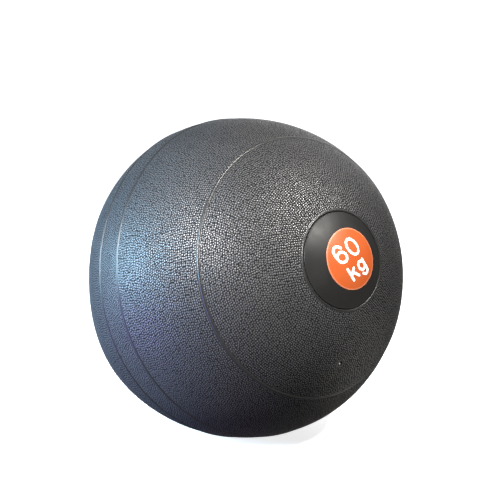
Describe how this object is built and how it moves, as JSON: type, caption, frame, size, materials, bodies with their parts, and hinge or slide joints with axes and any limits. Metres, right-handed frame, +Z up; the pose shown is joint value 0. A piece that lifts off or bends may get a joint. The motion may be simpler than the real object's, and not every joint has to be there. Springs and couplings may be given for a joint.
{
  "type": "medicine ball",
  "caption": "Heavy grained-rubber medicine ball for lifting and slamming, with moulded latitude beads, an equator band, domed gloss badges and an orange weight label.",
  "frame": {"origin": "middle of the flat contact patch on the underside, which is the bottom centre of the ball's box", "axes": "+Z up; -Y is the side that the label badge faces, whose axis rises 15 degrees above -Y in the YZ plane; +X is to the right of someone looking at the label"},
  "size_m": [0.3499, 0.3526, 0.3455],
  "materials": {
    "shell_rubber": "satin",
    "band_rubber": "satin",
    "liner_rubber": "matte",
    "iron_sand": "matte",
    "neck_plastic": "satin",
    "seal_rubber": "matte",
    "adhesive": "satin",
    "badge_gloss": "gloss",
    "label_orange": "gloss",
    "print_white": "gloss",
    "valve_core": "satin"
  },
  "bodies": {
    "root": {"label_half_shell": "shell_rubber", "rear_half_shell": "shell_rubber", "equator_band": "band_rubber", "inner_joint_strip": "band_rubber", "inner_liner": "liner_rubber", "iron_sand_fill": "iron_sand", "filler_neck": "neck_plastic", "neck_gasket": "seal_rubber", "neck_clamp_ring": "neck_plastic", "plug_seal_ring": "seal_rubber", "filler_plug": "neck_plastic", "label_badge_adhesive": "adhesive", "label_badge": "badge_gloss", "weight_label": "label_orange", "rear_badge_adhesive": "adhesive", "rear_badge": "badge_gloss", "air_valve_body": "seal_rubber", "air_valve_core": "valve_core"}
  },
  "joints": []
}
